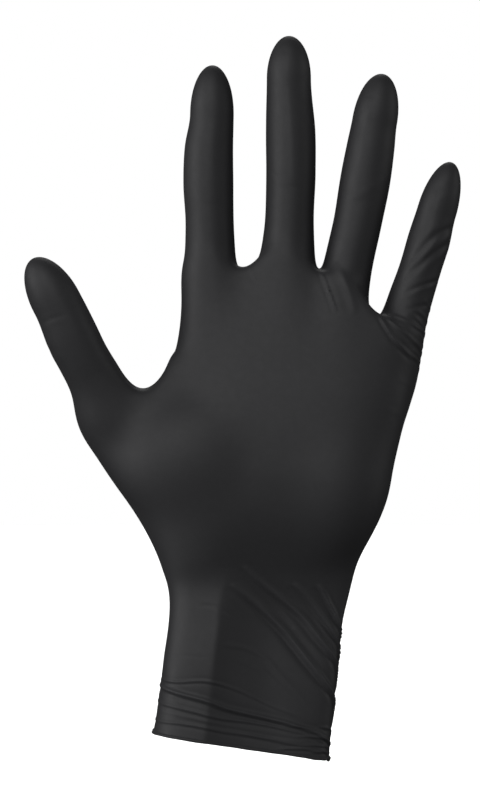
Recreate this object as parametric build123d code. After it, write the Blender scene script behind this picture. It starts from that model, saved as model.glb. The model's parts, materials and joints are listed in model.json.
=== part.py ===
from build123d import *

import os
from math import cos, radians, sin, tan

# A disposable examination glove in the shape it has when worn: a left hand held
# open and upright, palm towards -Y, thumb towards -X. +Z runs up the forearm to the
# fingertips, and the origin is the centre of the cuff's rim. The film is one hollow
# dipped skin. It is cut here into regions that bend apart from each other: each finger
# has a base, a middle and a tip, the thumb has a base and a tip, and the palm bends
# across the knuckles. All sizes are millimetres.

# The film. The worn film is about 0.1 thick, and this wall stands in for it.
WALL = 0.8

# The rolled bead round the rim of the cuff. The rim's plane leans towards the little finger.
BEAD_RADIUS = 1.1
RIM_SLOPE_DEG = 8.8

# The palm's cross-sections from the forearm to the roots of the fingers:
# height, left edge, right edge and depth.
PALM_SECTIONS = [
    (-12.0, -31.6, 30.4, 43.0),
    (18.0, -27.8, 32.8, 41.0),
    (47.0, -24.4, 36.6, 38.0),
    (62.0, -26.5, 40.4, 37.0),
    (80.0, -34.5, 47.5, 36.0),
    (97.0, -42.5, 53.0, 34.0),
    (109.0, -44.5, 56.0, 31.0),
    (118.0, -38.0, 58.5, 29.0),
    (129.0, -25.5, 61.0, 27.5),
    (145.0, -21.0, 63.5, 25.0),
    (161.5, -18.7, 65.0, 15.0),
]

# The palm's top edge drops from the ring finger's root to the little finger's.
WEB_DROP_START = (44.0, 161.5)
WEB_DROP_END = (66.0, 139.0)

# The cuff and the palm are one skin, cut where the wrist is narrowest.
WRIST_HEIGHT = 46.0

# Each finger: the top of its tip (x, z), its tilt to the right, the lengths of its base,
# middle and tip from joint to joint, its radius at the knuckle and at the tip, and how
# far above the knuckle its own skin starts.
FINGERS = {
    "index": {
        "top": (-10.4, 230.5),
        "tilt": 0.0,
        "lengths": (42.0, 24.5, 23.5),
        "radii": (8.9, 7.6),
        "skin_start": 25.0,
    },
    "middle": {
        "top": (16.6, 240.4),
        "tilt": 0.0,
        "lengths": (45.0, 27.0, 24.5),
        "radii": (8.9, 7.8),
        "skin_start": 22.0,
    },
    "ring": {
        "top": (47.6, 227.5),
        "tilt": 9.8,
        "lengths": (43.0, 26.0, 24.0),
        "radii": (8.7, 7.6),
        "skin_start": 27.0,
    },
    "little": {
        "top": (70.7, 197.9),
        "tilt": 15.3,
        "lengths": (36.0, 20.5, 21.5),
        "radii": (7.6, 6.0),
        "skin_start": 24.5,
    },
}
FINGER_LEAN_DEG = 4.0

# The thumb, from its root in the heel of the hand to its top. Its radii and its two
# joints are given as shares of that length. It is turned so that it folds across the palm.
THUMB_ROOT = (-17.5, -2.0, 63.0)
THUMB_TOP = (-70.7, -18.0, 164.0)
THUMB_RADII = [(0.0, 8.0), (0.2, 9.5), (0.4, 12.6), (0.5, 11.6), (0.72, 9.2), (0.9, 8.5), (1.0, 8.0)]
THUMB_BASE_SHARE = 0.53
THUMB_TIP_SHARE = 0.75
THUMB_TURN_DEG = 45.0

# The line of the knuckles, across which the palm bends.
KNUCKLE_POINT = (20.0, 0.0, 136.5)
KNUCKLE_SLOPE_DEG = 14.5
KNUCKLE_HALF_DEPTH = 12.5

# Every bend: its largest angle, and how deep its hinge line lies under the inner crease.
KNUCKLE_BEND = (60.0, 5.0)
MIDDLE_BEND = (85.0, 3.0)
TIP_BEND = (45.0, 3.0)
THUMB_BASE_BEND = (30.0, 3.0)
THUMB_TIP_BEND = (45.0, 3.0)

# The gap across the skin at a bend, and how the crease on its inner side opens out.
JOINT_GAP = 0.7
CREASE_SPARE_DEG = 4.0
CREASE_REACH = 6.0

# How far a stall's own space stands clear of its skin, and a length beyond the whole glove.
CLEARANCE = 1.2
FAR = 400.0


def palm_section(section, inset):
    height, left, right, depth = section
    face = SlotOverall(right - left - 2 * inset, depth - 2 * inset)
    return Pos((left + right) / 2, 0, height) * face


def half_space(plane, sign):
    """Everything on one side of a plane: above it with sign 1, below it with sign -1."""
    return plane * Pos(0, 0, sign * FAR / 2) * Box(FAR, FAR, FAR)


def palm_core(inset):
    """The palm, heel and cuff as one smooth solid, with every face moved in by inset."""
    sections = [palm_section(section, inset) for section in PALM_SECTIONS]
    if inset:
        # The hollow stops one wall short of the finger roots and runs out of the cuff.
        sections[-1] = Pos(0, 0, -inset) * sections[-1]
    core = loft(sections)
    (start_x, start_z), (end_x, end_z) = WEB_DROP_START, WEB_DROP_END
    normal = Vector(start_z - end_z, 0, end_x - start_x).normalized()
    edge = Vector(start_x, 0, start_z) - normal * inset
    return core - half_space(Plane(origin=edge, z_dir=normal), 1)


def tapered_stall(points, inset):
    """A turned solid along +Z through (height, radius) points, closed with a round dome."""
    wall = [(radius - inset, height) for height, radius in points]
    foot_height = wall[0][1]
    dome_radius, dome_height = wall[-1]
    halfway = dome_radius * cos(radians(45))
    top = (0, dome_height + dome_radius)
    side = Polyline((0, foot_height), *wall)
    dome = ThreePointArc(wall[-1], (halfway, dome_height + halfway), top)
    return revolve(Plane.XZ * make_face([side, dome, Line(top, (0, foot_height))]), Axis.Z)


def finger_frame(finger):
    """The plane at a finger's knuckle: Z along the finger, -Y towards the palm."""
    tilt, lean = radians(finger["tilt"]), radians(FINGER_LEAN_DEG)
    along = Vector(sin(tilt) * cos(lean), -sin(lean), cos(tilt) * cos(lean))
    across = Vector(cos(tilt), 0, -sin(tilt))
    length = sum(finger["lengths"])
    top_x, top_z = finger["top"]
    knuckle = Vector(top_x - along.X * length, 0, top_z - along.Z * length)
    return Plane(origin=knuckle, x_dir=across, z_dir=along)


def thumb_frame():
    """The plane at the thumb's root: Z along the thumb, -Y the way it folds."""
    root = Vector(*THUMB_ROOT)
    along = (Vector(*THUMB_TOP) - root).normalized()
    level = Vector(0, 1, 0).cross(along).normalized()
    across = level.rotate(Axis((0, 0, 0), along), THUMB_TURN_DEG)
    return Plane(origin=root, x_dir=across, z_dir=along)


def thumb_length():
    return (Vector(*THUMB_TOP) - Vector(*THUMB_ROOT)).length


def knuckle_frame():
    """The plane through the knuckles, seen as the start of the fingers."""
    slope = radians(KNUCKLE_SLOPE_DEG)
    return Plane(origin=KNUCKLE_POINT, x_dir=(cos(slope), 0, -sin(slope)), z_dir=(sin(slope), 0, cos(slope)))


def rim_frame():
    slope = radians(RIM_SLOPE_DEG)
    return Plane(origin=(0, 0, 0), x_dir=(cos(slope), 0, -sin(slope)), z_dir=(sin(slope), 0, cos(slope)))


def moved_up(frame, height):
    return Plane(origin=frame.origin + frame.z_dir * height, x_dir=frame.x_dir, z_dir=frame.z_dir)


def finger_radius(finger, height):
    knuckle_radius, tip_radius = finger["radii"]
    return knuckle_radius + (tip_radius - knuckle_radius) * height / sum(finger["lengths"])


def thumb_radius(share):
    for (low, low_radius), (high, high_radius) in zip(THUMB_RADII, THUMB_RADII[1:]):
        if share <= high:
            return low_radius + (high_radius - low_radius) * (share - low) / (high - low)
    return THUMB_RADII[-1][1]


def finger_solid(finger, inset):
    knuckle_radius, tip_radius = finger["radii"]
    points = [(0, knuckle_radius), (sum(finger["lengths"]) - tip_radius, tip_radius)]
    return finger_frame(finger) * tapered_stall(points, inset)


def thumb_solid(inset):
    dome_height = thumb_length() - THUMB_RADII[-1][1]
    points = [(share * dome_height, radius) for share, radius in THUMB_RADII]
    return thumb_frame() * tapered_stall(points, inset)


def hand_solid(inset):
    """The whole glove filled, with every face moved in by inset."""
    shape = palm_core(inset) + thumb_solid(inset)
    for finger in FINGERS.values():
        shape += finger_solid(finger, inset)
    return shape


def rolled_bead():
    """The bead, along the line round the rim in the middle of the wall."""
    rim = (palm_core(WALL / 2) & (rim_frame() * Rectangle(FAR, FAR))).faces()[0].outer_wire()
    start = rim.edges()[0]
    section = Plane(origin=start @ 0, z_dir=start % 0) * Circle(BEAD_RADIUS)
    return sweep(section, path=rim)


def bend_cutter(frame, radius, bend, width):
    """What a bend leaves free: a thin slot across the skin, and a crease on its inner side
    that opens just enough for the part above to fold down about the hinge line."""
    angle, depth = bend
    slot = Box(width, width, JOINT_GAP)
    hinge = depth - radius
    reach = depth + CREASE_REACH
    rise = reach * tan(radians(angle / 2 + CREASE_SPARE_DEG))
    crease = make_face(
        Polyline((hinge, 0), (hinge - reach, rise), (hinge - reach, -rise), (hinge, 0))
    )
    return frame * (slot + extrude(Plane.YZ * crease, width / 2, both=True))


def hinge_line(frame, radius, bend):
    """A point on a bend's hinge line, and the line's direction."""
    return frame.origin - frame.y_dir * (radius - bend[1]), frame.x_dir


def stretch(frame, radius, low, high):
    """The space round one stall between two heights along it."""
    return frame * Pos(0, 0, (low + high) / 2) * Cylinder(radius, high - low)


def cut_finger(name, finger, skin):
    """Takes one finger's base, middle and tip out of the skin. Returns them and the rest."""
    frame = finger_frame(finger)
    base_length, middle_length, tip_length = finger["lengths"]
    tip_start = base_length + middle_length
    end = tip_start + tip_length + CLEARANCE
    around = finger["radii"][0] + CLEARANCE
    cutters = bend_cutter(
        moved_up(frame, base_length), finger_radius(finger, base_length), MIDDLE_BEND, 3 * around
    )
    cutters += bend_cutter(
        moved_up(frame, tip_start), finger_radius(finger, tip_start), TIP_BEND, 3 * around
    )
    stall = (skin & stretch(frame, around, finger["skin_start"], end)) - cutters
    pieces = {
        name + "_base": stall & stretch(frame, around, finger["skin_start"], base_length),
        name + "_middle": stall & stretch(frame, around, base_length, tip_start),
        name + "_tip": stall & stretch(frame, around, tip_start, end),
    }
    return pieces, skin - stretch(frame, around, finger["skin_start"], end)


def cut_thumb(skin):
    """Takes the thumb's base and tip out of the skin. Returns them and the rest."""
    frame, length = thumb_frame(), thumb_length()
    base_start, tip_start = THUMB_BASE_SHARE * length, THUMB_TIP_SHARE * length
    end = length + CLEARANCE
    around = thumb_radius(THUMB_BASE_SHARE) + CLEARANCE
    cutters = bend_cutter(
        moved_up(frame, base_start), thumb_radius(THUMB_BASE_SHARE), THUMB_BASE_BEND, 3 * around
    )
    cutters += bend_cutter(
        moved_up(frame, tip_start), thumb_radius(THUMB_TIP_SHARE), THUMB_TIP_BEND, 3 * around
    )
    stall = (skin & stretch(frame, around, base_start, end)) - cutters
    pieces = {
        "thumb_base": stall & stretch(frame, around, base_start, tip_start),
        "thumb_tip": stall & stretch(frame, around, tip_start, end),
    }
    # The half of the base's slot and crease that lies in the palm's side of the bend.
    below = cutters & stretch(frame, around, base_start - 3 * around, base_start)
    return pieces, skin - stretch(frame, around, base_start, end) - below


def cut_palm(skin):
    """Parts what is left at the knuckles and at the wrist."""
    knuckles = knuckle_frame()
    skin = skin - bend_cutter(knuckles, KNUCKLE_HALF_DEPTH, KNUCKLE_BEND, FAR)
    hand = skin & half_space(knuckles, -1)
    wrist = Plane(origin=(0, 0, WRIST_HEIGHT))
    return {
        "finger_roots": skin & half_space(knuckles, 1),
        "palm": hand & half_space(wrist, 1),
        "cuff": hand & half_space(wrist, -1),
    }


def build():
    """Every node of the glove by name."""
    bead = rolled_bead()
    skin = hand_solid(0) - hand_solid(WALL)
    skin = skin - half_space(rim_frame(), -1) - bead
    nodes = {"cuff_bead": bead}
    for name, finger in FINGERS.items():
        pieces, skin = cut_finger(name, finger, skin)
        nodes.update(pieces)
    pieces, skin = cut_thumb(skin)
    nodes.update(pieces)
    nodes.update(cut_palm(skin))
    return nodes


if __name__ == "__main__":
    os.makedirs("parts", exist_ok=True)
    for name, shape in build().items():
        export_step(shape, f"parts/{name}.step")
        print(name, round(shape.volume, 1), "mm3 in", len(shape.solids()), "solid")
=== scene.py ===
import itertools
import json
import math

import bpy
import numpy as np
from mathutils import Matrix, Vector


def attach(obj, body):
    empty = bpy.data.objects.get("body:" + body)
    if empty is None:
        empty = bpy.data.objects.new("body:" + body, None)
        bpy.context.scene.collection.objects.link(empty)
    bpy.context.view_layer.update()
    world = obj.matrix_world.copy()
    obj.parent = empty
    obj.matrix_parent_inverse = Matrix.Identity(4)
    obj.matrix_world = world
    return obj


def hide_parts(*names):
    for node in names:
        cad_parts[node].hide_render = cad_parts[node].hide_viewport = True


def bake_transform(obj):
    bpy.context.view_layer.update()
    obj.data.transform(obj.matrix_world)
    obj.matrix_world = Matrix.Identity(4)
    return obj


# The worn film of one disposable glove, built as one smooth surface and then parted where
# the joints bend it. Shapes are in millimetres in the part's own frame: palm towards -Y, thumb
# towards -X, fingers up.
MM = 0.001

# ------------------------ shape of the hand

# The palm, heel and wrist: height, left and right edges, and the front and back faces.
PALM = [
    (-16.0, -33.0, 29.6, -18.4, 21.0),
    (0.0, -30.3, 30.4, -17.4, 20.8),
    (14.0, -28.0, 31.6, -16.6, 20.4),
    (30.0, -26.0, 33.2, -15.8, 19.8),
    (44.0, -24.2, 35.2, -14.5, 19.2),
    (54.0, -24.0, 37.6, -14.2, 18.8),
    (63.0, -24.6, 39.8, -14.9, 18.4),
    (72.0, -25.4, 43.0, -16.1, 18.2),
    (84.0, -26.4, 48.2, -17.4, 17.8),
    (94.0, -26.8, 51.2, -17.9, 17.3),
    (104.0, -27.0, 54.2, -17.6, 16.8),
    (118.0, -25.2, 56.8, -16.4, 15.8),
    (130.0, -23.0, 57.6, -14.8, 14.8),
    (142.0, -20.2, 60.0, -13.0, 13.2),
    (154.0, -18.4, 63.6, -11.0, 11.4),
    (168.0, -17.0, 66.6, -9.0, 9.0),
]
PALM_SQUARENESS = [(-16.0, 3.8), (20.0, 4.2), (44.0, 3.8), (84.0, 2.8), (120.0, 3.0), (168.0, 3.0)]

# On the wrist the palm's side is not round: from an edge near the thumb it falls away
# towards the little finger. Where the edge is, how quickly the fall sets in past it, how far
# it goes and how soft the edge is. The last two are by height.
WRIST_EDGE = -0.41
WRIST_LEAN_RATE = 1.7
WRIST_LEAN = [
    (-16.0, 0.36), (10.0, 0.46), (26.0, 0.56), (38.0, 0.68), (48.0, 0.73), (57.0, 0.60), (66.0, 0.36),
    (76.0, 0.15), (88.0, 0.03), (100.0, 0.0), (168.0, 0.0),
]
WRIST_EDGE_SOFT = [(30.0, 0.03), (46.0, 0.07), (60.0, 0.32), (80.0, 0.40)]

# Where the palm ends between the fingers: x and height on the palm's side of the webs.
WEB_TOP = [
    (-30.0, 161.0), (1.5, 158.6), (7.0, 161.0), (26.0, 156.4),
    (36.0, 152.0), (46.0, 142.5), (58.0, 136.0), (75.0, 130.0),
]
WEB_LEAN = 0.5
WEB_ROUNDING = 7.0

# Soft mounds: centre, radii, the direction of the last radius, and how softly they merge.
MOUNDS = [
    dict(at=(-18.0, -4.6, 88.0), radii=(15.0, 11.4, 22.0), along=(-0.50, -0.10, 0.86), soft=16.0),
    dict(at=(34.0, -4.6, 86.0), radii=(12.5, 11.0, 18.0), along=(0.14, 0.0, 0.99), soft=16.0),
    dict(at=(-44.6, -2.2, 112.0), radii=(8.0, 9.0, 8.5), along=(-0.5, -0.1, 0.86), soft=8.0),
    dict(at=(-30.0, -6.2, 112.0), radii=(17.0, 6.6, 24.0), along=(0.0, 0.0, 1.0), soft=8.0),
    dict(at=(-19.0, -7.4, 99.0), radii=(21.0, 11.2, 17.0), along=(-0.5, 0.0, 0.86), soft=12.0),
    dict(at=(-9.0, 7.6, 139.0), radii=(8.0, 8.0, 12.0), along=(0.0, 0.1, 1.0), soft=9.0),
    dict(at=(16.0, 7.8, 142.0), radii=(8.0, 8.4, 12.0), along=(0.0, 0.1, 1.0), soft=9.0),
    dict(at=(37.5, 7.0, 136.0), radii=(7.6, 8.0, 12.0), along=(0.1, 0.1, 1.0), soft=9.0),
    dict(at=(52.0, 5.6, 126.0), radii=(7.0, 7.4, 11.0), along=(0.2, 0.1, 0.97), soft=9.0),
]

# Each stall, from inside the palm to the start of its dome: x, y, z, half width and half
# depth. Then the dome's length.
STALLS = {
    "index": dict(
        line=[
            (-10.8, 1.6, 118.0, 8.6, 8.6),
            (-10.6, 0.4, 140.0, 9.2, 9.4),
            (-10.3, -1.0, 160.0, 8.9, 9.0),
            (-10.5, -2.2, 178.0, 8.2, 8.8),
            (-10.9, -3.0, 190.0, 8.5, 8.6),
            (-10.7, -3.9, 203.0, 8.2, 7.9),
            (-9.7, -4.5, 214.0, 7.4, 7.4),
        ],
        dome=16.5,
    ),
    "middle": dict(
        line=[
            (16.0, 1.6, 120.0, 8.6, 8.8),
            (16.0, 0.4, 142.0, 9.4, 9.6),
            (15.9, -1.0, 162.0, 9.5, 9.2),
            (16.6, -2.2, 178.0, 8.3, 9.0),
            (17.1, -3.2, 194.0, 8.4, 8.8),
            (17.0, -4.0, 208.0, 8.4, 8.2),
            (16.4, -5.0, 226.0, 7.5, 7.3),
        ],
        dome=14.4,
    ),
    "ring": dict(
        line=[
            (30.2, 1.6, 124.0, 8.4, 8.6),
            (33.6, 0.4, 145.0, 8.9, 9.2),
            (36.6, -1.0, 163.0, 8.3, 8.8),
            (39.9, -2.2, 178.0, 8.2, 8.6),
            (42.4, -3.1, 192.0, 8.5, 8.4),
            (44.2, -3.9, 203.0, 8.1, 7.8),
            (45.6, -4.4, 212.0, 7.6, 7.2),
        ],
        dome=15.8,
    ),
    "little": dict(
        line=[
            (47.8, 1.6, 118.0, 7.0, 7.4),
            (53.2, 0.4, 136.0, 8.0, 8.2),
            (57.6, -0.6, 151.0, 7.5, 7.8),
            (61.0, -1.5, 161.5, 7.1, 7.5),
            (64.0, -2.3, 171.5, 7.2, 7.2),
            (66.6, -3.0, 181.0, 6.7, 6.5),
        ],
        dome=17.4,
    ),
    "thumb": dict(
        line=[
            (-16.5, -1.5, 66.0, 8.6, 9.0),
            (-28.0, 0.2, 87.0, 9.2, 8.8),
            (-40.6, -2.0, 108.0, 10.9, 8.6),
            (-48.4, -7.2, 123.8, 9.5, 9.2),
            (-52.6, -9.6, 130.6, 9.1, 9.2),
            (-56.1, -11.7, 137.4, 9.2, 8.8),
            (-62.0, -14.6, 150.0, 8.4, 7.8),
        ],
        dome=16.8,
    ),
}
ROOT_ROUNDING = 8.0

# The round hollow between the thumb and the palm, seen from the palm's side: its lowest
# point, how quickly it opens, and its side towards the palm by height.
WEB_HOLLOW = (-33.0, 121.0)
WEB_HOLLOW_OPENING = 9.0
WEB_HOLLOW_SIDE = [
    (120.0, -22.4), (130.0, -22.4), (136.0, -21.9), (144.0, -21.2), (151.0, -21.4), (162.0, -24.0),
]
WEB_HOLLOW_SOFT = 6.0

# How softly the fingers merge with each other and with the palm, and the thumb with both.
FINGERS_SOFT = 5.0
FINGER_TO_PALM_SOFT = 10.0
THUMB_SOFT = 16.0

# The rim of the cuff leans towards the little-finger side.
RIM_SLOPE = math.radians(8.8)
RIM_NORMAL = np.array([math.sin(RIM_SLOPE), 0.0, math.cos(RIM_SLOPE)])

# Keep roots and divisions clear of 0.
TINY = 1e-6
TINY_SLOPE = 1e-9


def unit(vector):
    vector = np.asarray(vector, float)
    return vector / np.linalg.norm(vector)


def hermite(knots, places, smooth_ends=False):
    """A smooth curve through (place, value) knots, read at places. It is level past its ends,
    and with smooth_ends it arrives there level."""
    knots = np.asarray(knots, float)
    at, value = knots[:, 0], knots[:, 1]
    slope = np.gradient(value, at)
    if smooth_ends:
        slope[[0, -1]] = 0.0
    places = np.clip(places, at[0], at[-1])
    i = np.clip(np.searchsorted(at, places) - 1, 0, len(at) - 2)
    span = at[i + 1] - at[i]
    t = (places - at[i]) / span
    return (
        value[i] * (2 * t**3 - 3 * t**2 + 1)
        + slope[i] * span * (t**3 - 2 * t**2 + t)
        + value[i + 1] * (3 * t**2 - 2 * t**3)
        + slope[i + 1] * span * (t**3 - t**2)
    )


def soft_min(a, b, soft):
    """The union of two fields, rounded where they meet."""
    h = np.maximum(soft - np.abs(a - b), 0.0) / soft
    return np.minimum(a, b) - h**3 * soft / 6


def soft_max(a, b, soft):
    """What two fields share, rounded where they meet."""
    return -soft_min(-a, -b, soft)


def oval_distance(parts):
    """About how far a point is outside an oval, from pairs of coordinate and radius."""
    inside = sum((c / r) ** 2 for c, r in parts) + TINY
    steep = sum((c / r**2) ** 2 for c, r in parts) + TINY_SLOPE
    reach = np.sqrt(inside)
    return reach * (reach - 1) / np.sqrt(steep)


def palm_section(p):
    """Across and depth of a point in the palm's section at its height, both 1 at the edge, and
    the section's half width and half depth there."""
    table = np.array(PALM)
    left, right, front, back = (hermite(table[:, (0, i)], p[:, 2]) for i in (1, 2, 3, 4))
    half_width = (right - left) / 2
    across = (p[:, 0] - (left + right) / 2) / half_width
    past, soft = across - WRIST_EDGE, hermite(WRIST_EDGE_SOFT, p[:, 2])
    past = (past + np.hypot(past, soft)) / 2
    front = front * (1 - hermite(WRIST_LEAN, p[:, 2]) * (1 - np.exp(-WRIST_LEAN_RATE * past)))
    half_depth = np.where(p[:, 1] < 0, -front, back)
    return across, p[:, 1] / half_depth, half_width, half_depth


def palm_field(p):
    """The palm, heel and wrist, closed above by the webs of the fingers."""
    x, y, z = p[:, 0], p[:, 1], p[:, 2]
    across, depth, half_width, half_depth = palm_section(p)
    power = hermite(PALM_SQUARENESS, z)
    u, v = np.abs(across) + TINY, np.abs(depth) + TINY
    reach = (u**power + v**power) ** (1 / power)
    du = u ** (power - 1) / half_width
    dv = v ** (power - 1) / half_depth
    sides = (reach - 1) / (np.hypot(du, dv) * reach ** (1 - power))
    top = (z + WEB_LEAN * y - hermite(WEB_TOP, x)) / math.hypot(1, WEB_LEAN)
    return soft_max(sides, top, WEB_ROUNDING)


def across_axes(along):
    """Two directions square to along: one sideways, and one towards the palm's side or the back."""
    across = unit(np.cross([0.0, 1.0, 0.0], along))
    return across, np.cross(along, across)


def mound_field(p, mound):
    along = unit(mound["along"])
    across, out = across_axes(along)
    q = p - np.array(mound["at"])
    return oval_distance([(q @ axis, r) for axis, r in zip((across, out, along), mound["radii"])])


def stall_frame(stall):
    """The straight line that a stall follows: its start, its direction, and the two across it."""
    line = np.array(stall["line"])
    start, end = line[0, :3], line[-1, :3]
    along = unit(end - start)
    return start, along, *across_axes(along)


def off_stall(p, stall, smooth_ends=False):
    """Each point's height up a stall, how far it is across and out from the stall's curved
    line, and the heights of the line's own points."""
    start, along, across, out = stall_frame(stall)
    q = np.array(stall["line"])[:, :3] - start
    heights = q @ along
    t = (p - start) @ along
    u, v = (
        (p - start) @ axis - hermite(np.column_stack([heights, q @ axis]), t, smooth_ends)
        for axis in (across, out)
    )
    return t, u, v, heights


def stall_field(p, stall):
    """A stall as an oval tube, with a dome at its tip and a rounded end inside the palm."""
    t, u, v, heights = off_stall(p, stall, smooth_ends=True)
    line = np.array(stall["line"])
    half_width, half_depth = (
        hermite(np.column_stack([heights, line[:, i]]), t, smooth_ends=True) for i in (3, 4)
    )
    over = np.where(t > heights[-1], t - heights[-1], 0.0)
    under = np.where(t < 0, t, 0.0)
    return oval_distance(
        [(u, half_width), (v, half_depth), (over, stall["dome"]), (under, ROOT_ROUNDING)]
    )


def web_hollow(p):
    """Above 0 inside the hollow between the thumb and the palm."""
    off = p[:, 0] - WEB_HOLLOW[0]
    above = p[:, 2] - WEB_HOLLOW[1] - off**2 / WEB_HOLLOW_OPENING
    inside = above / np.hypot(1.0, 2 * off / WEB_HOLLOW_OPENING)
    return soft_min(inside, hermite(WEB_HOLLOW_SIDE, p[:, 2]) - p[:, 0], WEB_HOLLOW_SOFT)


def hand_field(p):
    """Below 0 inside the worn glove, above 0 outside, in about millimetres."""
    field = palm_field(p)
    for mound in MOUNDS:
        field = soft_min(field, mound_field(p, mound), mound["soft"])
    field = soft_min(field, stall_field(p, STALLS["thumb"]), THUMB_SOFT)
    fingers = stall_field(p, STALLS["index"])
    for name in ("middle", "ring", "little"):
        fingers = soft_min(fingers, stall_field(p, STALLS[name]), FINGERS_SOFT)
    field = soft_min(field, fingers, FINGER_TO_PALM_SOFT)
    return soft_max(field, web_hollow(p), WEB_HOLLOW_SOFT)


# ------------------------ surface of the film

# The grid's two corners, and its spacing along each axis as (limit, step) bands: a step is used
# below its limit. It is fine at the folds of the cuff, the wrist and the little finger, and
# coarser on the palm.
LOW = np.array([-80.0, -32.0, -9.0])
HIGH = np.array([80.0, 30.0, 246.0])
SPACING = (
    [(44.0, 1.3), (math.inf, 1.0)],
    [(math.inf, 1.2)],
    [(62.0, 0.85), (114.0, 1.7), (math.inf, 1.1)],
)
SLOPE_STEP = 0.05
RELAX_ROUNDS = 4
RELAX_SHARE = 0.5


def graded(low, high, bands):
    """Grid lines from low to high, each a step on from the one before."""
    lines = [low]
    while lines[-1] < high:
        step = next(step for limit, step in bands if lines[-1] < limit)
        lines.append(lines[-1] + step)
    return np.array(lines)


def field_on_grid(xs, ys, zs):
    """The field on the grid, worked out in slabs to keep the arrays small."""
    values = np.empty((len(xs), len(ys), len(zs)), np.float32)
    gy, gz = np.meshgrid(ys, zs, indexing="ij")
    for i, x in enumerate(xs):
        p = np.column_stack([np.full(gy.size, x), gy.ravel(), gz.ravel()])
        values[i] = hand_field(p).reshape(gy.shape)
    return values


def cell_vertices(values, lines):
    """One vertex in each grid cell that the surface crosses, at the middle of its crossings.
    Returns the vertices and the number of each cell's vertex, or -1."""
    inside = values < 0
    shape = tuple(n - 1 for n in values.shape)
    total, count = np.zeros(shape + (3,)), np.zeros(shape)
    sizes = np.ix_(*(np.diff(line) for line in lines))

    def corner(array, c):
        return array[c[0]:c[0] + shape[0], c[1]:c[1] + shape[1], c[2]:c[2] + shape[2]]

    for a in itertools.product((0, 1), repeat=3):
        starts = np.ix_(*(line[c:c + n] for line, c, n in zip(lines, a, shape)))
        for axis in range(3):
            if a[axis]:
                continue
            b = tuple(1 if i == axis else c for i, c in enumerate(a))
            crossed = corner(inside, a) != corner(inside, b)
            low, high = corner(values, a), corner(values, b)
            share = np.where(crossed, low / np.where(crossed, low - high, 1), 0)
            for i in range(3):
                place = starts[i] + share * sizes[i] if i == axis else starts[i]
                total[..., i] += np.where(crossed, place, 0)
            count += crossed
    used = count > 0
    index = np.full(shape, -1)
    index[used] = np.arange(used.sum())
    return total[used] / count[used][:, None], index


def crossing_quads(inside, index):
    """A quad round each grid edge that the surface crosses, facing outward."""
    quads = []
    for axis in range(3):
        u, v = (axis + 1) % 3, (axis + 2) % 3
        here = [slice(1, -1)] * 3
        here[axis] = slice(None, -1)
        there = list(here)
        there[axis] = slice(1, None)
        starts = inside[tuple(here)]
        crossed = np.argwhere(starts != inside[tuple(there)])
        outward = starts[tuple(crossed.T)]
        crossed[:, (u, v)] += 1
        ring = []
        for du, dv in ((0, 0), (1, 0), (1, 1), (0, 1)):
            cell = crossed.copy()
            cell[:, u] -= du
            cell[:, v] -= dv
            ring.append(index[tuple(cell.T)])
        ring = np.column_stack(ring)
        ring[~outward] = ring[~outward][:, ::-1]
        quads.append(ring)
    return np.vstack(quads)


def field_slope(p):
    """The field's slope at each point, along the three axes."""
    out = np.empty_like(p)
    for i in range(3):
        shift = np.zeros(3)
        shift[i] = SLOPE_STEP
        out[:, i] = (hand_field(p + shift) - hand_field(p - shift)) / (2 * SLOPE_STEP)
    return out


def onto_surface(p, rounds):
    """Moves points onto the surface along the field's slope. Returns them and their normals."""
    for _ in range(rounds):
        slope = field_slope(p)
        p = p - slope * (hand_field(p) / np.maximum((slope**2).sum(1), TINY_SLOPE))[:, None]
    slope = field_slope(p)
    return p, slope / np.linalg.norm(slope, axis=1)[:, None]


def sides_of(quads):
    """Every quad's four sides, as pairs of vertices in the quad's own order."""
    return np.vstack([quads[:, (i, (i + 1) % 4)] for i in range(4)])


def edges_of(quads):
    return np.unique(np.sort(sides_of(quads), axis=1), axis=0)


def open_sides(quads):
    """The sides that only one quad has."""
    sides = sides_of(quads)
    _, index, count = np.unique(
        np.sort(sides, axis=1), axis=0, return_index=True, return_counts=True
    )
    return sides[index[count == 1]]


def relaxed(p, quads, held):
    """Evens out the mesh: every free vertex moves towards the middle of its neighbours."""
    edges = edges_of(quads)
    count = np.bincount(edges.ravel(), minlength=len(p))[:, None]
    for _ in range(RELAX_ROUNDS):
        total = np.zeros_like(p)
        for i in range(3):
            total[:, i] = np.bincount(edges[:, 0], p[edges[:, 1], i], len(p))
            total[:, i] += np.bincount(edges[:, 1], p[edges[:, 0], i], len(p))
        moved = p + RELAX_SHARE * (total / count - p)
        p = np.where(held[:, None], p, moved)
    return p


def split_quads(p, quads):
    """Each quad becomes four."""
    edges, which = np.unique(np.sort(sides_of(quads), axis=1), axis=0, return_inverse=True)
    which = which.reshape(4, -1) + len(p)
    middle = np.arange(len(quads)) + len(p) + len(edges)
    vertices = np.vstack([p, p[edges].mean(1), p[quads].mean(1)])
    parts = [np.column_stack([quads[:, i], which[i], middle, which[i - 1]]) for i in range(4)]
    return vertices, np.vstack(parts)


def compact(p, quads):
    """Drops the vertices that no quad uses."""
    used, quads = np.unique(quads, return_inverse=True)
    return p[used], quads.reshape(-1, 4)


def rim_edge(quads):
    """The vertices on the open edge of the mesh."""
    return np.unique(open_sides(quads))


def onto_rim(p, rim):
    """Slides the rim's vertices onto the rim's plane, straight along the cuff."""
    p = p.copy()
    p[rim, 2] -= (p[rim] @ RIM_NORMAL) / RIM_NORMAL[2]
    return p


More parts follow.
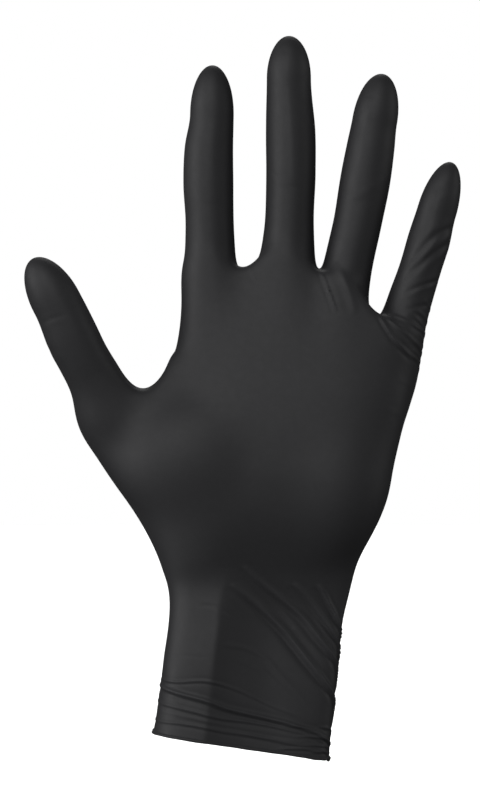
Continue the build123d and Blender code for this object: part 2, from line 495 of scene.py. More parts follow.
def film_surface():
    """The glove's outer surface before its folds: vertices, their normals and the quads."""
    lines = [graded(low, high, bands) for low, high, bands in zip(LOW, HIGH, SPACING)]
    values = field_on_grid(*lines)
    p, index = cell_vertices(values, lines)
    quads = crossing_quads(values < 0, index)
    above = (p[quads] @ RIM_NORMAL).mean(1) > 0
    p, quads = compact(p, quads[above])
    rim = rim_edge(quads)
    held = np.zeros(len(p), bool)
    held[rim] = True
    p = relaxed(onto_rim(p, rim), quads, held)
    p, _ = onto_surface(p, 1)
    p, quads = split_quads(onto_rim(p, rim), quads)
    rim = rim_edge(quads)
    p, normals = onto_surface(onto_rim(p, rim), 2)
    return onto_rim(p, rim), normals, quads


# ------------------------ folds in the film

# Round the wrist a place is (degrees, height): 0 is the middle of the palm's side and 90
# the little-finger side. WRIST_RADIUS turns degrees into a length along the film.
WRIST_RADIUS = 27.0
STALL_RADIUS = 8.0

# Folds round the wrist: places, then height and width. Most run from the heel of the hand down
# to the little-finger side of the cuff, and the last four are on the back.
WRIST_FOLDS = [
    ([(-18, 54.9), (-2, 48.1), (16, 40.3), (26, 34.5), (43, 23.5), (56, 18), (84, 11), (112, 4)],
     1.05, 0.85),
    ([(-11, 60.9), (1, 54.9), (23, 46.0), (32, 41.3), (40, 36.2), (53, 30.2), (84, 22), (112, 14)],
     1.00, 0.85),
    ([(-12, 57), (0, 51), (12, 45.6), (24, 39.6)], -0.30, 0.90),
    ([(20, 55.0), (27, 51.5), (34, 47.3), (42, 42.6), (55, 36.6), (84, 29), (112, 22)], 1.00, 0.75),
    ([(34, 54.5), (38, 51.9), (46, 46.4), (58, 40.9), (84, 35)], 0.95, 0.65),
    ([(34, 44), (46, 37), (60, 30.5), (84, 25)], 0.30, 0.55),
    ([(50, 27), (70, 21.5), (98, 15)], 0.20, 0.50),
    ([(-36, 47.8), (-26, 47.3), (-15, 44)], -0.09, 0.60),
    ([(-62, 30.2), (-44, 30.9), (-26, 30.2)], -0.05, 0.60),
    ([(-20, 34.5), (-5, 33.2), (9, 29.8), (22, 22.6), (37, 14.1)], 0.18, 0.75),
    ([(-12, 30), (8, 25.5), (22, 19.6), (34, 13)], 0.10, 0.70),
    ([(150, 52), (172, 46), (196, 36), (222, 28), (246, 23)], 0.40, 1.0),
    ([(132, 40), (158, 36), (186, 27), (208, 19), (232, 14)], 0.45, 0.9),
    ([(196, 54), (214, 48), (232, 39), (252, 34)], 0.30, 0.9),
    ([(120, 50), (140, 45), (160, 43)], 0.25, 0.9),
]

# Rings of slack film round the cuff, gathered at the little-finger side. Each has heights at
# RING_STOPS, the height at the middle of the back, then the fold's height and width.
RING_STOPS = (-95, -58, -37, -23, -12, 5, 24, 42, 62, 92)
CUFF_RINGS = [
    ((20.8, 20.0, 17.5, 15.3, 12.9, 10.7, 8.2, 4.8, 1.0, -0.4), 16.0, 0.70, 0.70),
    ((15.2, 14.8, 12.9, 10.8, 9.4, 8.3, 6.2, 3.2, -0.7, -1.8), 11.0, 0.34, 0.48),
    ((9.4, 8.7, 8.0, 6.6, 5.2, 3.7, 1.6, -0.5, -2.4, -3.2), 5.5, 0.32, 0.45),
]
# Folds that start at the thumb side and run into the rings.
CUFF_FOLDS = [
    ([(-112, 21.6), (-65, 22.6), (-43, 21.9), (-29, 22.4), (-19, 21.4), (-3, 18.4), (17, 13.6),
      (32, 10.2)], 0.30, 0.42),
    ([(-78, 12.2), (-46, 11.4), (-12, 7.4), (12, 5.0)], 0.08, 0.45),
    ([(-20, 7.0), (10, 3.6), (34, 1.4), (58, -1.4)], 0.22, 0.40),
]
# Short crumpled folds at the gather: start, end, height and width.
GATHER_FOLDS = [
    ((26, 7.0), (60, 2.6), 0.26, 0.38),
    ((32, 3.4), (68, 0.0), 0.34, 0.36),
    ((36, 0.4), (72, -2.6), 0.34, 0.36),
    ((44, 6.4), (86, 2.4), 0.28, 0.42),
    ((22, -0.8), (52, -2.8), 0.40, 0.34),
    ((40, -2.2), (66, -3.8), 0.34, 0.32),
]

# Folds seen flat on from the palm's side: (x, z) places, height and width.
PALM_FOLDS = [
    ([(3.0, 162.2), (5.0, 157.5), (8.8, 153.0)], 0.16, 0.45),
    ([(27.2, 160.4), (29.2, 155.0), (31.0, 150.0), (32.2, 146.5)], 0.40, 0.50),
    ([(32.0, 163.5), (35.2, 157.0), (37.4, 151.0), (38.6, 146.0)], 0.30, 1.30),
    ([(46.6, 146.2), (50.0, 140.4), (54.1, 135.0), (58.4, 130.6)], 0.50, 0.55),
    ([(47.4, 146.6), (52.4, 142.2), (57.6, 138.0), (62.6, 134.4)], 0.30, 0.45),
    ([(49.0, 146.4), (55.0, 144.4), (60.0, 141.6), (64.0, 138.8)], 0.22, 0.45),
    ([(50.4, 138.4), (55.4, 134.2), (60.6, 130.0)], 0.30, 0.50),
    ([(52.4, 124.4), (56.0, 122.8), (59.6, 120.6)], 0.06, 0.80),
    ([(46.8, 115.0), (51.0, 113.4), (55.6, 110.8)], 0.05, 0.90),
]

# Folds on the stalls: (degrees, height up the stall) places, height and width.
STALL_FOLDS = {
    "little": [
        ([(-38, 47.5), (-19, 50.3), (8, 57.5), (48, 61.2), (82, 62.0)], -0.40, 1.30),
        ([(-34, 41.0), (-10, 46.0), (20, 52.0), (56, 56.0), (86, 57.4)], -0.34, 1.20),
        ([(-20, 36.5), (20, 41.0), (64, 43.5), (90, 44.0)], -0.26, 0.80),
        ([(-10, 31.0), (26, 33.5), (64, 35.5)], -0.16, 0.80),
        ([(-34, 72.6), (2, 74.4), (50, 76.2)], -0.14, 1.80),
    ],
    "ring": [
        ([(-26, 61.5), (10, 66.0), (44, 70.0), (78, 72.0)], 0.08, 1.60),
    ],
    "middle": [
        ([(-62, 75.4), (-40, 73.8), (-18, 71.6)], -0.05, 0.80),
    ],
    "thumb": [
        ([(-64, 92.6), (-28, 93.0), (10, 92.0)], -0.09, 0.80),
        ([(-100, 84.0), (-70, 82.6), (-46, 83.6)], -0.10, 1.60),
    ],
    "index": [],
}
# Long soft edges where the film is drawn tight over a fingertip, or over the wrist.
STALL_RIDGES = {
    "middle": ([(-11, 115.0), (-5, 101.0), (1, 86.0), (3, 70.0)], 0.50, 2.6),
    "ring": ([(-23, 97.0), (-21, 86.0), (-19, 76.0), (-14, 62.0)], 0.45, 2.6),
    "index": ([(8, 97.0), (10, 84.0), (12, 66.0)], 0.20, 3.2),
    "little": ([(-6, 74.0), (-4, 62.0), (0, 50.0)], 0.22, 2.4),
    "thumb": ([(18, 98.0), (22, 84.0), (26, 70.0)], 0.25, 3.4),
}
WRIST_RIDGES = [
    ([(-20, 60.0), (-24, 48.0), (-24, 34.0), (-23, 21.0)], 0.35, 2.4),
    ([(158, 60.0), (164, 44.0), (168, 26.0)], 0.45, 4.0),
]
# The height of each finger's middle joint up its stall, where its back is creased.
FINGER_CREASES_BACK = {"index": 64.0, "middle": 67.0, "ring": 61.0, "little": 42.0}

# Fine wrinkles on the outer side of the little finger: how many, how high the first is and how
# far apart they are, then the ranges that each one's places, height and width are drawn from.
WRINKLE_SEED = 7
WRINKLES = 8
WRINKLES_FROM = 17.0
WRINKLES_APART = 2.7
WRINKLE_SHIFT = (-0.8, 0.8)
WRINKLE_START = (0, 40)
WRINKLE_END = (84, 116)
WRINKLE_RISE = (-6.4, -3.4)
# How much of its rise a wrinkle has made at its middle.
WRINKLE_MIDDLE = 0.4
WRINKLE_HEIGHT = (0.14, 0.30)
WRINKLE_WIDTH = (0.42, 0.66)

# A fold's section has a crest 1 high with a hollow on each side of it: the hollow's place and
# breadth, in widths of the fold, and its depth. A ridge's crest is rounded over a share of its
# width. Both fade out at their two ends.
FOLD_HOLLOWS = [(-1.7, 1.3, 0.5), (1.9, 1.6, 0.25)]
RIDGE_ROUNDING = 0.22
FADE_POWER = 0.5
FOLD_PIECES = 18
FOLD_REACH = 5.0

# Where folds are added: below a height on the wrist, and above a height and near the line of a
# stall. The palm's folds fade as the film turns from the palm's side: how fast, and what is
# left of them where it faces sideways.
WRIST_FOLDS_BELOW = 72.0
STALL_FOLDS_ABOVE = 8.0
STALL_FOLDS_WITHIN = 13.5
PALM_FADE_RATE = 3.0
PALM_FADE_LEVEL = 0.4
# How high the rings of slack are on the back, beside in front, and how far a gathered fold
# arches.
BACK_RING_SHARE = 0.8
GATHER_ARCH = 0.9

# The film is a little uneven everywhere, and more so on the loose cuff: where the cuff starts
# to be loose, and over what length it gets fully so.
SLACK_HEIGHT = 0.012
LOOSE_HEIGHT = 0.06
LOOSE_TOP = 56.0
LOOSE_LENGTH = 40.0


def smooth_line(points):
    """Points evenly spread along a smooth curve through the given ones."""
    points = np.asarray(points, float)
    at = np.arange(len(points))
    places = np.linspace(0, len(points) - 1, FOLD_PIECES + 1)
    if len(points) == 2:
        return points[0] + (points[1] - points[0]) * places[:, None]
    return np.column_stack([hermite(np.column_stack([at, points[:, i]]), places) for i in (0, 1)])


def beside(places, points, reach):
    """Signed distance of each place from a line of points, and how far along it lies, 0 to 1.
    Places further away than reach are left at reach."""
    distance = np.full(len(places), reach)
    share = np.zeros(len(places))
    low, high = points.min(0) - reach, points.max(0) + reach
    near = np.flatnonzero(((places > low) & (places < high)).all(1))
    if not len(near):
        return distance, share
    q = places[near]
    steps = np.diff(points, axis=0)
    lengths = np.linalg.norm(steps, axis=1)
    along = np.concatenate([[0], np.cumsum(lengths)]) / lengths.sum()
    best = np.full(len(q), reach)
    sign = np.ones(len(q))
    where = np.zeros(len(q))
    for start, step, length, a, b in zip(points, steps, lengths, along, along[1:]):
        rel = q - start
        t = np.clip(rel @ step / length**2, 0, 1)
        off = rel - t[:, None] * step
        d = np.linalg.norm(off, axis=1)
        closer = d < best
        best[closer] = d[closer]
        side = np.sign(step[0] * rel[:, 1] - step[1] * rel[:, 0])
        sign[closer] = side[closer]
        where[closer] = (a + (b - a) * t)[closer]
    distance[near] = best * np.where(sign == 0, 1, sign)
    share[near] = where
    return distance, share


def faded(share):
    """From 0 at a fold's two ends to 1 at its middle."""
    return np.sin(np.pi * np.clip(share, 0, 1)) ** FADE_POWER


def fold_shape(distance, share, height, width):
    """A fold's crest with the hollows on both sides of it."""
    section = np.exp(-((distance / width) ** 2))
    for place, breadth, depth in FOLD_HOLLOWS:
        section -= depth * np.exp(-(((distance - place * width) / (breadth * width)) ** 2))
    return height * faded(share) * section


def ridge_shape(distance, share, height, width):
    """A long edge with nearly flat sides, as on film drawn tight over something."""
    rounded = np.sqrt(distance**2 + (RIDGE_ROUNDING * width) ** 2) / width
    return height * faded(share) * np.exp(-rounded)


def add_line(heights, places, line, height, width, shape=fold_shape):
    """Adds a fold's shape to the heights of the places that are near its line."""
    reach = FOLD_REACH * width
    distance, share = beside(places, smooth_line(line), reach)
    near = np.abs(distance) < reach
    heights[near] += shape(distance[near], share[near], height, width)


def turned(degrees, about):
    """Degrees brought within half a turn of about."""
    return about + (degrees - about + 180.0) % 360.0 - 180.0


def add_round_line(heights, degrees, along, radius, line, height, width, shape=fold_shape):
    """A line given in degrees round an axis and heights along it."""
    line = np.array(line, float)
    middle = line[:, 0].mean()
    scale = math.radians(radius)
    places = np.column_stack([turned(degrees, middle) * scale, along])
    line[:, 0] *= scale
    add_line(heights, places, line, height, width, shape)


def round_wrist(p):
    """Degrees round the wrist, and height."""
    across, depth, _, _ = palm_section(p)
    return np.degrees(np.arctan2(across, -depth)), p[:, 2]


def round_stall(p, stall):
    """Degrees round a stall's own line, height along it, and distance from it."""
    t, u, v, _ = off_stall(p, stall)
    return np.degrees(np.arctan2(u, -v)), t, np.hypot(u, v)


def cuff_ring(front, back):
    """A ring's line on the palm's side, and the line behind that joins its two ends."""
    thumb_side, gather = front[0], front[-1]
    behind = [
        (84, gather + 0.4), (110, gather + 3.0), (150, back - 1.0),
        (190, back), (230, back + 1.4), (268, thumb_side + 0.4),
    ]
    return list(zip(RING_STOPS, front)), behind


def gathered(start, end):
    """A short line from start to end that arches a little."""
    middle = ((start[0] + end[0]) / 2, (start[1] + end[1]) / 2 + GATHER_ARCH)
    return [start, middle, end]


def wrist_lines():
    """Every fold of the wrist and cuff: its line, height, width and shape."""
    for fold in WRIST_FOLDS:
        yield *fold, fold_shape
    for ridge in WRIST_RIDGES:
        yield *ridge, ridge_shape
    for fold in CUFF_FOLDS:
        yield *fold, fold_shape
    for front, back, height, width in CUFF_RINGS:
        before, behind = cuff_ring(front, back)
        yield before, height, width, fold_shape
        yield behind, BACK_RING_SHARE * height, width, fold_shape
    for start, end, height, width in GATHER_FOLDS:
        yield gathered(start, end), height, width, fold_shape


def wrist_heights(p):
    heights = np.zeros(len(p))
    low = np.flatnonzero(p[:, 2] < WRIST_FOLDS_BELOW)
    degrees, z = round_wrist(p[low])
    made = np.zeros(len(low))
    for line, height, width, shape in wrist_lines():
        add_round_line(made, degrees, z, WRIST_RADIUS, line, height, width, shape)
    heights[low] = made
    return heights


def palm_heights(p, normals):
    """The folds of the palm's side, which fade out where the film turns away from it."""
    heights = np.zeros(len(p))
    facing = np.clip(PALM_FADE_LEVEL - PALM_FADE_RATE * normals[:, 1], 0, 1)
    for line, height, width in PALM_FOLDS:
        add_line(heights, p[:, (0, 2)], line, height, width)
    return heights * facing


def little_wrinkles():
    """Fine wrinkles where the film is pushed together on the outer side of the little finger."""
    draw = np.random.default_rng(WRINKLE_SEED)
    folds = []
    for i in range(WRINKLES):
        along = WRINKLES_FROM + WRINKLES_APART * i + draw.uniform(*WRINKLE_SHIFT)
        start = draw.uniform(*WRINKLE_START)
        end = draw.uniform(*WRINKLE_END)
        rise = draw.uniform(*WRINKLE_RISE)
        line = [(start, along), ((start + end) / 2, along + rise * WRINKLE_MIDDLE), (end, along + rise)]
        height = draw.uniform(*WRINKLE_HEIGHT)
        folds.append((line, height, draw.uniform(*WRINKLE_WIDTH)))
    return folds


def back_creases(joint):
    """Three short creases across the back of a finger, at the height of its middle joint."""
    folds = []
    for i in (-1, 0, 1):
        inset, end = 4 * abs(i), joint + 2.4 * i
        line = [(140 + inset, end), (180, joint + 2.9 * i), (220 - inset, end)]
        folds.append((line, 0.14, 0.9))
    return folds


def stall_folds(name):
    folds = list(STALL_FOLDS[name])
    if name == "little":
        folds += little_wrinkles()
    if name in FINGER_CREASES_BACK:
        folds += back_creases(FINGER_CREASES_BACK[name])
    return folds


def stall_heights(p):
    heights = np.zeros(len(p))
    for name, stall in STALLS.items():
        degrees, along, away = round_stall(p, stall)
        near = np.flatnonzero((away < STALL_FOLDS_WITHIN) & (along > STALL_FOLDS_ABOVE))
        degrees, along = degrees[near], along[near]
        made = np.zeros(len(near))
        for fold in stall_folds(name):
            add_round_line(made, degrees, along, STALL_RADIUS, *fold)
        add_round_line(made, degrees, along, STALL_RADIUS, *STALL_RIDGES[name], ridge_shape)
        heights[near] += made
    return heights


def slack(p):
    """Slow unevenness of the film, more of it on the loose cuff."""
    x, y, z = p.T
    waves = (
        np.sin(0.31 * x + 0.17 * z + 1.3) * np.sin(0.27 * y - 0.21 * z)
        + 0.6 * np.sin(0.52 * x - 0.33 * y + 0.12 * z + 0.7)
        + 0.4 * np.sin(0.23 * x + 0.61 * y + 0.47 * z + 2.1)
    )
    loose = np.clip((LOOSE_TOP - z) / LOOSE_LENGTH, 0, 1)
    return waves * (SLACK_HEIGHT + LOOSE_HEIGHT * loose)


def folded(p, normals):
    """The surface with every fold raised or sunk along its normals."""
    heights = wrist_heights(p) + palm_heights(p, normals) + stall_heights(p) + slack(p)
    return p + normals * heights[:, None]


# ------------------------ pieces of the film

# The film's thickness.
FILM = 0.15
# Where the cuff's film gives way to the palm's.
WRIST_HEIGHT = 46.0
# Half of the stretch that bends at the knuckles, and where its film starts, up from them.
KNUCKLE_ZONE = 12.0
KNUCKLE_CUT = -14.0
# For each finger, along it from its middle hinge: where its own film starts, where the
# lower piece gives way to the upper, and half of the stretch that bends at each hinge.
FINGER_CUTS = {
    "index": (-16.0, 12.7, 9.0, 8.0),
    "middle": (-21.0, 13.5, 9.0, 8.0),
    "ring": (-13.5, 13.0, 9.0, 8.0),
    "little": (-10.6, 10.6, 10.2, 7.4),
}
# A finger's film lies above this height and this near to the finger's line.
FINGER_FILM_ABOVE = 140.0
FINGER_FILM_WITHIN = 16.0
# The thumb's film starts at the web, across a line from there to the outer knuckle. Its zone
# is where that film starts and where it has turned fully. The cut is up from the tip's hinge.
THUMB_WEB = np.array([-33.5, -10.0, 120.8])
THUMB_WAY = np.array([-0.724, -0.10, 0.683])
THUMB_WEB_SIDE = -29.0
THUMB_ZONE = (0.6, 17.6)
THUMB_STILL = 0.6
THUMB_CUT = -10.6
THUMB_TIP_ZONE = 9.0


def hinge(frame, name):
    """A joint's place in millimetres and its axis."""
    joint = next(j for j in frame["joints"] if j["name"] == name)
    return np.array(joint["pos_m"]) / MM, unit(joint["axis"])


def nearest_stall(p):
    """The finger whose stall each point is nearest to."""
    names = list(FINGER_CUTS)
    fields = np.column_stack([stall_field(p, STALLS[name]) for name in names])
    return np.array(names, dtype=object)[fields.argmin(1)]


def bending(replaces, bodies, hinge_place, zone, along):
    """A piece's record: the nodes it replaces, its bodies, and a stretch of zone on each side of a
    hinge; the piece is not bent here.
    """
    start, end = hinge_place - zone * along, hinge_place + zone * along
    return dict(replaces=replaces, bodies=bodies, start=start, end=end)


def knuckle_pieces(region, centre, on_palm, frame):
    """Marks the quads of the knuckles' film, and says how it bends."""
    knuckle, axis = hinge(frame, "knuckle_bend")
    up = unit(np.cross(axis, [0.0, 1.0, 0.0]))
    up *= np.sign(up[2])
    region[((centre - knuckle) @ up > KNUCKLE_CUT) & on_palm] = "knuckle_film"
    bodies = ("hand", "knuckles")
    return {"knuckle_film": bending(["finger_roots"], bodies, knuckle, KNUCKLE_ZONE, up)}


def finger_pieces(region, centre, nearest, name, frame):
    """Marks the quads of a finger's two films, and says how they bend."""
    film_start, middle_cut, zone, tip_zone = FINGER_CUTS[name]
    base, middle, tip = (name + "_" + part for part in ("base", "middle", "tip"))
    lower, upper = name + "_lower_film", name + "_upper_film"
    low, _ = hinge(frame, name + "_middle_bend")
    high, _ = hinge(frame, name + "_tip_bend")
    _, along, across, _ = stall_frame(STALLS[name])
    line_end = np.array(STALLS[name]["line"][-1][:3])
    t = (centre - low) @ along
    mine = (t > film_start) & (nearest == name) & (centre[:, 2] > FINGER_FILM_ABOVE)
    mine &= np.abs((centre - line_end) @ across) < FINGER_FILM_WITHIN
    region[mine & (t <= middle_cut)] = lower
    region[mine & (t > middle_cut)] = upper
    return {
        lower: bending([base], ("knuckles", middle), low, zone, along),
        upper: bending([middle, tip], (middle, tip), high, tip_zone, along),
    }


def thumb_pieces(region, centre, on_palm, frame):
    """Marks the quads of the thumb's two films, and says how they bend."""
    way = unit(THUMB_WAY)
    thumb = ((centre - THUMB_WEB) @ way > THUMB_ZONE[0]) & ~on_palm
    tip, _ = hinge(frame, "thumb_tip_bend")
    _, along, _, _ = stall_frame(STALLS["thumb"])
    t = (centre - tip) @ along
    region[thumb & (t <= THUMB_CUT)] = "thumb_lower_film"
    region[thumb & (t > THUMB_CUT)] = "thumb_upper_film"
    lower = dict(
        replaces=["thumb_base"], bodies=("hand", "thumb_base"),
        start=THUMB_WEB + (THUMB_ZONE[0] + THUMB_STILL) * way, end=THUMB_WEB + THUMB_ZONE[1] * way,
    )
    upper = bending(["thumb_tip"], ("thumb_base", "thumb_tip"), tip, THUMB_TIP_ZONE, along)
    return {"thumb_lower_film": lower, "thumb_upper_film": upper}


def film_regions(p, quads, frame):
    """Which piece each quad belongs to, and how each piece bends."""
    centre = p[quads].mean(1)
    on_palm = centre[:, 0] > THUMB_WEB_SIDE
    nearest = nearest_stall(centre)
    region = np.full(len(quads), "palm_film", dtype=object)
    region[centre[:, 2] < WRIST_HEIGHT] = "cuff_film"
    pieces = {
        "cuff_film": dict(replaces=["cuff"], body="hand"),
        "palm_film": dict(replaces=["palm"], body="hand"),
    }
    pieces |= knuckle_pieces(region, centre, on_palm, frame)
    for name in FINGER_CUTS:
        pieces |= finger_pieces(region, centre, nearest, name, frame)
    pieces |= thumb_pieces(region, centre, on_palm, frame)
    return region, pieces


def vertex_normals(p, quads):
    """Each vertex's normal, from the quads round it."""
    a, b, c, d = (p[quads[:, i]] for i in range(4))
    flat = np.cross(c - a, d - b)
    out = np.zeros_like(p)
    for corner in range(4):
        for i in range(3):
            out[:, i] += np.bincount(quads[:, corner], flat[:, i], len(p))
    return out / np.maximum(np.linalg.norm(out, axis=1), TINY)[:, None]


def add_object(name, data):
    obj = bpy.data.objects.new(name, data)
    bpy.context.scene.collection.objects.link(obj)
    return obj


def quad_mesh(name, points, faces):
    """A smooth-shaded mesh of quads, from points in millimetres."""
    mesh = bpy.data.meshes.new(name)
    mesh.vertices.add(len(points))
    mesh.vertices.foreach_set("co", (points * MM).astype(np.float32).ravel())
    mesh.loops.add(faces.size)
    mesh.loops.foreach_set("vertex_index", faces.astype(np.int32).ravel())
    mesh.polygons.add(len(faces))
    mesh.polygons.foreach_set("loop_start", np.arange(0, faces.size, 4, dtype=np.int32))
    mesh.update(calc_edges=True)
    mesh.polygons.foreach_set("use_smooth", np.ones(len(faces), bool))
    return mesh


def film_mesh(name, p, normals, crest, quads):
    """A closed film: the outer surface, the same surface one film's thickness in, and a
    narrow wall between their edges."""
    used, inner = np.unique(quads, return_inverse=True)
    outer = inner.reshape(-1, 4)
    count = len(used)
    edge = open_sides(outer)
    wall = np.column_stack([edge[:, 1], edge[:, 0], edge[:, 0] + count, edge[:, 1] + count])
    faces = np.vstack([outer, outer[:, ::-1] + count, wall])
    mesh = quad_mesh(name, np.vstack([p[used], p[used] - FILM * normals[used]]), faces)
    attribute = mesh.attributes.new("crest", "FLOAT", "POINT")
    attribute.data.foreach_set("value", np.tile(crest[used], 2).astype(np.float32))
    turned_in = np.vstack([normals[used], -normals[used]])
    mesh.normals_split_custom_set_from_vertices(turned_in.tolist())
    mesh.validate()
    return add_object(name, mesh)


def place_piece(obj, facts, material):
    """Gives a piece its material, attaches it to its body if it has just one and else bakes its place
    into its mesh, and hides the CAD nodes that it stands for.
    """
    obj.data.materials.append(material)
    if "body" in facts:
        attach(obj, facts["body"])
    else:
        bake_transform(obj)
    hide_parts(*facts["replaces"])


# ------------------------ the rolled bead

# The bead's radius, how many sides its section has, and how far it sits below the rim.
BEAD = 0.55
BEAD_SIDES = 14
BEAD_DROP = 0.1
# Where round the cuff the film is gathered and the bead is crumpled, and how far to each side.
GATHER_AT = 66
GATHER_REACH = 22


def ring_mesh(name, path, radii):
    """A tube along a closed path of points, with a radius at each."""
    count = len(path)
    ahead = np.roll(path, -1, axis=0) - np.roll(path, 1, axis=0)
    ahead /= np.linalg.norm(ahead, axis=1)[:, None]
    side = np.cross(ahead, RIM_NORMAL)
    side /= np.linalg.norm(side, axis=1)[:, None]
    up = np.cross(side, ahead)
    angles = np.linspace(0, 2 * np.pi, BEAD_SIDES, endpoint=False)[None, :, None]
    section = np.cos(angles) * side[:, None] + np.sin(angles) * up[:, None]
    points = path[:, None] + section * radii[:, None, None]
    here, side_here = np.meshgrid(np.arange(count), np.arange(BEAD_SIDES), indexing="ij")
    after, next_side = (here + 1) % count, (side_here + 1) % BEAD_SIDES
    corners = [(here, side_here), (here, next_side), (after, next_side), (after, side_here)]
    faces = np.stack([i * BEAD_SIDES + j for i, j in corners], axis=-1)
    return quad_mesh(name, points.reshape(-1, 3), faces.reshape(-1, 4))


def rim_path(p, quads):
    """The rim's vertices in order round the cuff, and their degrees round it."""
    rim = rim_edge(quads)
    degrees, _ = round_wrist(p[rim])
    order = np.argsort(degrees)
    return p[rim][order], degrees[order]


def cuff_bead(p, quads):
    """The rolled rim: a little uneven all round, and crumpled at the gather."""
    path, degrees = rim_path(p, quads)
    around = np.radians(degrees)
    gather = np.exp(-(((degrees - GATHER_AT) / GATHER_REACH) ** 2))
    uneven = 0.08 * np.sin(9 * around + 0.4) + 0.05 * np.sin(23 * around) + 0.12 * gather
    crumple = gather * (0.26 * np.sin(14 * around) + 0.18 * np.sin(31 * around))
    path = path + RIM_NORMAL * (crumple - BEAD_DROP)[:, None]
    return add_object("cuff_bead_roll", ring_mesh("cuff_bead_roll", path, BEAD * (1 + uneven)))


# ------------------------ materials

# The film, from the hollows of its folds to their crests: darker in the hollows (painted shade) and
# paler on the crests (painted highlight), and also rougher in the hollows and smoother on the crests.
FILM_SHADED_TO_LIT_COLORS = ((0.037, 0.037, 0.0395, 1.0), (0.042, 0.042, 0.045, 1.0))
FILM_ROUGHNESS = (0.60, 0.55)
COLOR_STOPS = (0.35, 0.95)
ROUGHNESS_STOPS = (0.3, 0.9)
# How much a fold's height in millimetres adds to the mottling, which paints highlight on crests and
# shade in hollows, and how much the pores add to the grain.
CREST_SHARE = 0.5
PORE_SHARE = 0.4
RELIEF = 0.0001
RELIEF_STRENGTH = 0.10


def node(tree, kind, **values):
    made = tree.nodes.new(kind)
    for name, value in values.items():
        made.inputs[name].default_value = value
    return made


def scaled_sum(tree, first, scale, second):
    """A node that gives first times scale, plus second."""
    made = tree.nodes.new("ShaderNodeMath")
    made.operation = "MULTIPLY_ADD"
    made.inputs[1].default_value = scale
    tree.links.new(first, made.inputs[0])
    tree.links.new(second, made.inputs[2])
    return made.outputs[0]


def film_tone(tree, shader, mottle_and_painted_fold_light):
    """Painted highlight on fold crests and painted shade in fold hollows, through the colour; smoother
    on the crests.
    """
    color = tree.nodes.new("ShaderNodeValToRGB")
    for element, stop, value in zip(color.color_ramp.elements, COLOR_STOPS, FILM_SHADED_TO_LIT_COLORS):
        element.position = stop
        element.color = value
    tree.links.new(mottle_and_painted_fold_light, color.inputs["Fac"])
    tree.links.new(color.outputs["Color"], shader.inputs["Base Color"])
    low, high = ROUGHNESS_STOPS
    matt, smooth = FILM_ROUGHNESS
    ends = {"From Min": low, "From Max": high, "To Min": matt, "To Max": smooth}
    rough = node(tree, "ShaderNodeMapRange", **ends)
    tree.links.new(mottle_and_painted_fold_light, rough.inputs["Value"])
    tree.links.new(rough.outputs["Result"], shader.inputs["Roughness"])


def film_skin(tree, shader, grain, pores):
    """The fine skin that the dipping former leaves."""
    relief = scaled_sum(tree, pores.outputs["Distance"], PORE_SHARE, grain.outputs["Fac"])
    bump = node(tree, "ShaderNodeBump", Strength=RELIEF_STRENGTH, Distance=RELIEF)
    tree.links.new(relief, bump.inputs["Height"])
    tree.links.new(bump.outputs["Normal"], shader.inputs["Normal"])


def nitrile(name):
    """Black nitrile: a faint random mottling, a fine skin, smoother crests, and painted highlight on
    crests with painted shade in fold hollows.
    """
    material = bpy.data.materials.new(name)
    material.use_nodes = True
    tree = material.node_tree
    shader = tree.nodes["Principled BSDF"]
    place = tree.nodes.new("ShaderNodeTexCoord")
    mottle = node(tree, "ShaderNodeTexNoise", Scale=420.0, Detail=5.0, Roughness=0.65)
    grain = node(tree, "ShaderNodeTexNoise", Scale=3200.0, Detail=2.0, Roughness=0.55)
    pores = node(tree, "ShaderNodeTexVoronoi", Scale=1500.0)
    for texture in (mottle, grain, pores):
        tree.links.new(place.outputs["Object"], texture.inputs["Vector"])
    crest = tree.nodes.new("ShaderNodeAttribute")
    crest.attribute_name = "crest"
    # Fold heights mixed into the random mottling: they paint highlight on crests and shade in hollows.
    mottle_and_painted_fold_light = scaled_sum(tree, crest.outputs["Fac"], CREST_SHARE, mottle.outputs["Fac"])
    film_tone(tree, shader, mottle_and_painted_fold_light)
    film_skin(tree, shader, grain, pores)
    return material


# ------------------------ stage, light and camera

# The stage is in metres.
FLOOR_HEIGHT = -0.075
FLOOR_RADIUS = 6.0
FLOOR_COLOR = (0.92, 0.92, 0.92, 1.0)
FLOOR_ROUGHNESS = 0.9
FLOOR_LIGHT = 4.4
FLOOR_LIGHT_SPREAD = math.radians(50)
WHITE = (1.0, 1.0, 1.0, 1.0)
AMBIENT = 0.05
# Softboxes: name, place and power. All aim at LIT_PLACE.
LIT_PLACE = (0.0, 0.0, 0.12)
LIGHT_SIZE = (0.8, 0.8)
STUDIO_LIGHTS = [
    ("key", (-1.40, -0.72, 0.32), 8.0),
    ("front", (-0.25, -1.45, 0.72), 6.4),
    ("far_left", (-1.565, -0.055, 0.40), 1.4),
    ("far_right", (1.57, -0.14, 0.40), 2.8),
    ("behind", (0.10, 1.05, 1.45), 4.0),
]
# The camera looks level at the palm's side. FRAME_HEIGHT is what it takes in at the glove.
CAMERA_DISTANCE = 1.70
CAMERA_CENTRE = (-0.00017, 0.1165)
FRAME_HEIGHT = 0.273
SENSOR = 36.0


def softbox(name, place, power):
    data = bpy.data.lights.new(name, "AREA")
    data.shape = "RECTANGLE"
    data.size, data.size_y = LIGHT_SIZE
    data.energy = power
    lamp = add_object(name, data)
    lamp.location = place
    lamp.rotation_mode = "QUATERNION"
    lamp.rotation_quaternion = (Vector(LIT_PLACE) - Vector(place)).to_track_quat("-Z", "Y")


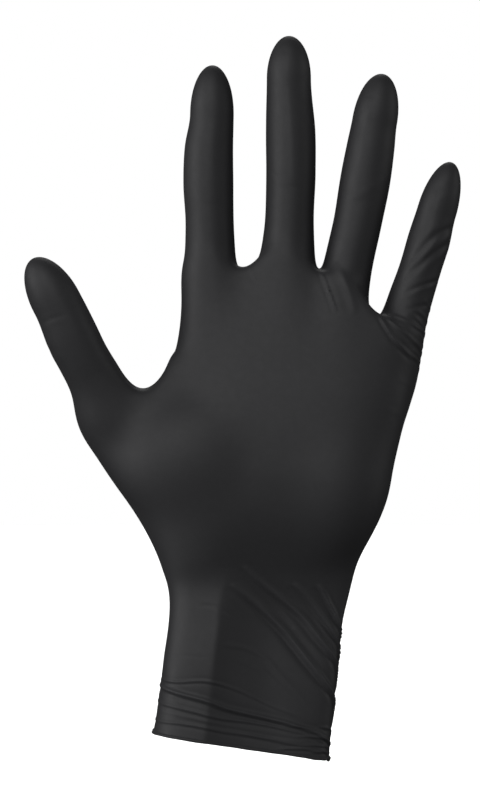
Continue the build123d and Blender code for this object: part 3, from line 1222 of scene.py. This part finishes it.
def backdrop():
    """White to the camera, and a dim even light on the glove."""
    world = bpy.data.worlds.new("studio")
    bpy.context.scene.world = world
    world.use_nodes = True
    tree = world.node_tree
    tree.nodes.clear()
    out = tree.nodes.new("ShaderNodeOutputWorld")
    seen = node(tree, "ShaderNodeBackground", Color=WHITE, Strength=1.0)
    lit = node(tree, "ShaderNodeBackground", Color=WHITE, Strength=AMBIENT)
    mix = tree.nodes.new("ShaderNodeMixShader")
    path = tree.nodes.new("ShaderNodeLightPath")
    tree.links.new(path.outputs["Is Camera Ray"], mix.inputs[0])
    tree.links.new(lit.outputs[0], mix.inputs[1])
    tree.links.new(seen.outputs[0], mix.inputs[2])
    tree.links.new(mix.outputs[0], out.inputs["Surface"])


def floor():
    """A plain pale floor, which throws no light back at the glove."""
    bpy.ops.mesh.primitive_circle_add(
        vertices=128, radius=FLOOR_RADIUS, fill_type="NGON", location=(0, 0, FLOOR_HEIGHT)
    )
    plane = bpy.context.object
    plane.name = "floor"
    material = bpy.data.materials.new("pale_floor")
    material.use_nodes = True
    shader = material.node_tree.nodes["Principled BSDF"]
    shader.inputs["Base Color"].default_value = FLOOR_COLOR
    shader.inputs["Roughness"].default_value = FLOOR_ROUGHNESS
    plane.data.materials.append(material)
    plane.visible_diffuse = False
    plane.visible_glossy = False
    return plane


def floor_light(plane):
    """A soft overhead light on the floor alone, so that it stays as pale as the backdrop."""
    data = bpy.data.lights.new("floor_light", "SUN")
    data.energy = FLOOR_LIGHT
    data.angle = FLOOR_LIGHT_SPREAD
    lamp = add_object("floor_light", data)
    lit = bpy.data.collections.new("floor_only")
    lit.objects.link(plane)
    lamp.light_linking.receiver_collection = lit


def camera():
    data = bpy.data.cameras.new("camera")
    data.sensor_width = SENSOR
    data.lens = SENSOR * CAMERA_DISTANCE / FRAME_HEIGHT
    obj = add_object("camera", data)
    across, height = CAMERA_CENTRE
    obj.location = (across, -CAMERA_DISTANCE, height)
    obj.rotation_euler = (math.radians(90), 0, 0)
    bpy.context.scene.camera = obj


def studio():
    backdrop()
    floor_light(floor())
    for name, place, power in STUDIO_LIGHTS:
        softbox(name, place, power)
    bpy.context.scene.view_settings.view_transform = "Standard"
    camera()


# ------------------------ the glove

def glove(frame):
    """Makes the film's pieces and the bead. Regions are read from the film before its folds."""
    film = nitrile("black_nitrile")
    bead = nitrile("black_nitrile_bead")
    smooth, normals, quads = film_surface()
    p = folded(smooth, normals)
    # The folds' heights, which the film's colour turns into painted highlight on crests and painted
    # shade in hollows.
    crest = ((p - smooth) * normals).sum(1)
    normals = vertex_normals(p, quads)
    region, pieces = film_regions(smooth, quads, frame)
    for name, facts in pieces.items():
        obj = film_mesh(name, p, normals, crest, quads[region == name])
        place_piece(obj, facts, film)
    place_piece(cuff_bead(p, quads), dict(body="hand", replaces=["cuff_bead"]), bead)


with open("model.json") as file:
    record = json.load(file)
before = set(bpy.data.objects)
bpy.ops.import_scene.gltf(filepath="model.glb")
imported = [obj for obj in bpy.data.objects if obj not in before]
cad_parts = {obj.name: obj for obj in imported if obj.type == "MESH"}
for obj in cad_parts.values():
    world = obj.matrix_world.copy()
    obj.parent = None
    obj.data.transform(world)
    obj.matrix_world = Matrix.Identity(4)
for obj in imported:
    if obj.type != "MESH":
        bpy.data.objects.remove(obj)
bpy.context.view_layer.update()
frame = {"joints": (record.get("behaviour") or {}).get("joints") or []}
glove(frame)
studio()
